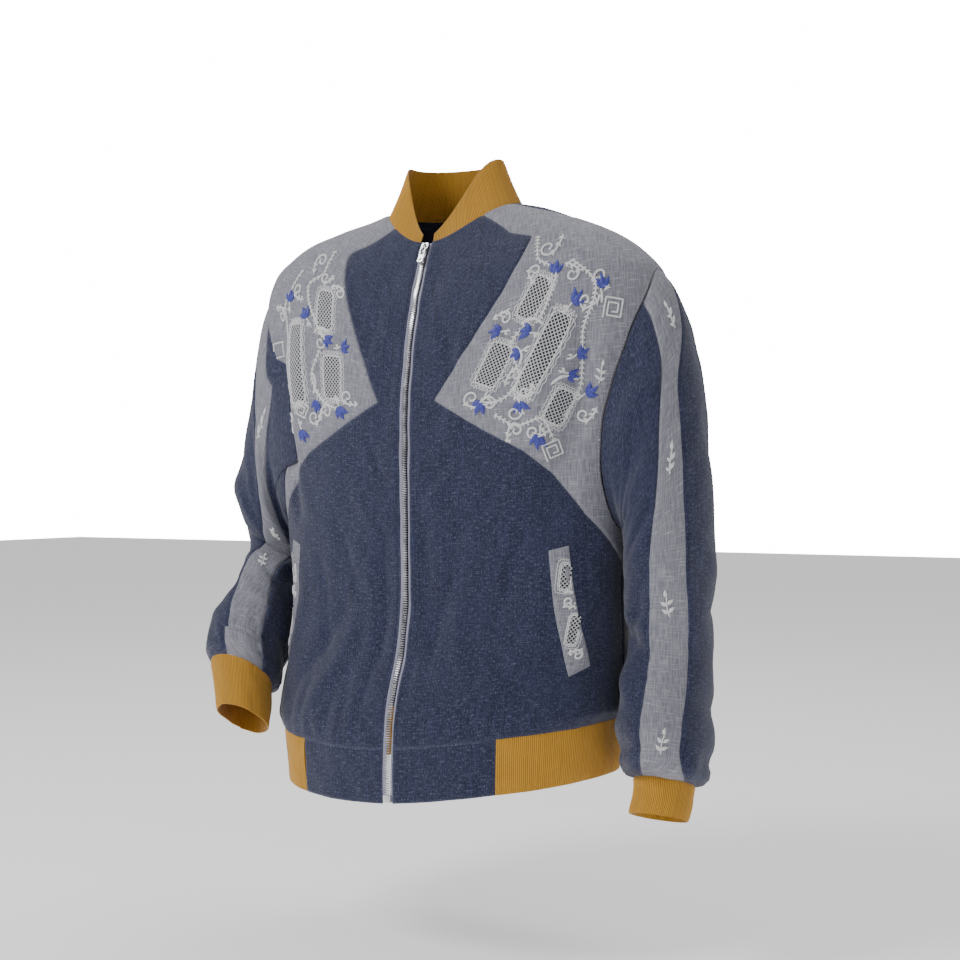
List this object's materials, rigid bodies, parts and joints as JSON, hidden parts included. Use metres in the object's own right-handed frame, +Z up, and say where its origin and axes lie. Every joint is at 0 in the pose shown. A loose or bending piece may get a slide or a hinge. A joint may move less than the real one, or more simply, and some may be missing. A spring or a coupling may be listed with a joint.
{
  "type": "bomber jacket",
  "caption": "Zipped denim bomber jacket in its worn shape, with light embroidered inserts and sleeve stripes and a ribbed collar, cuffs and hem.",
  "frame": {"origin": "middle of the neck opening, at the height where the collar meets the shoulders, where the jacket hangs from its wearer", "axes": "+Z up; the jacket's front faces -Y and the wearer's left is +X"},
  "size_m": [0.6065, 0.2702, 0.7027],
  "materials": {
    "denim": "matte",
    "grey_cloth": "matte",
    "rib": "matte",
    "zip_tape": "matte",
    "metal": "satin"
  },
  "bodies": {
    "jacket": {"back_insert_left": "grey_cloth", "back_insert_right": "grey_cloth", "back_panel": "denim", "chest_insert_left": "grey_cloth", "chest_insert_right": "grey_cloth", "collar": "rib", "cuff_left": "rib", "cuff_right": "rib", "front_panel_left": "denim", "front_panel_right": "denim", "hem_band_left": "denim", "hem_band_right": "denim", "hem_rib": "rib", "sleeve_back_left": "denim", "sleeve_back_right": "denim", "sleeve_front_left": "denim", "sleeve_front_right": "denim", "sleeve_patch_right": "grey_cloth", "sleeve_stripe_left": "grey_cloth", "sleeve_stripe_right": "grey_cloth", "welt_left": "grey_cloth", "welt_right": "grey_cloth", "zip_box": "metal", "zip_chain": "metal", "zip_slider": "metal", "zip_tape_left": "zip_tape", "zip_tape_right": "zip_tape"},
    "zip_pull": {"zip_pull": "metal"}
  },
  "joints": [
    {"name": "pull_swing", "type": "hinge", "parent": "jacket", "child": "zip_pull", "pos_m": [0, -0.05926, -0.04753], "axis": [-1, 0, 0], "range_deg": [0, 150]}
  ]
}
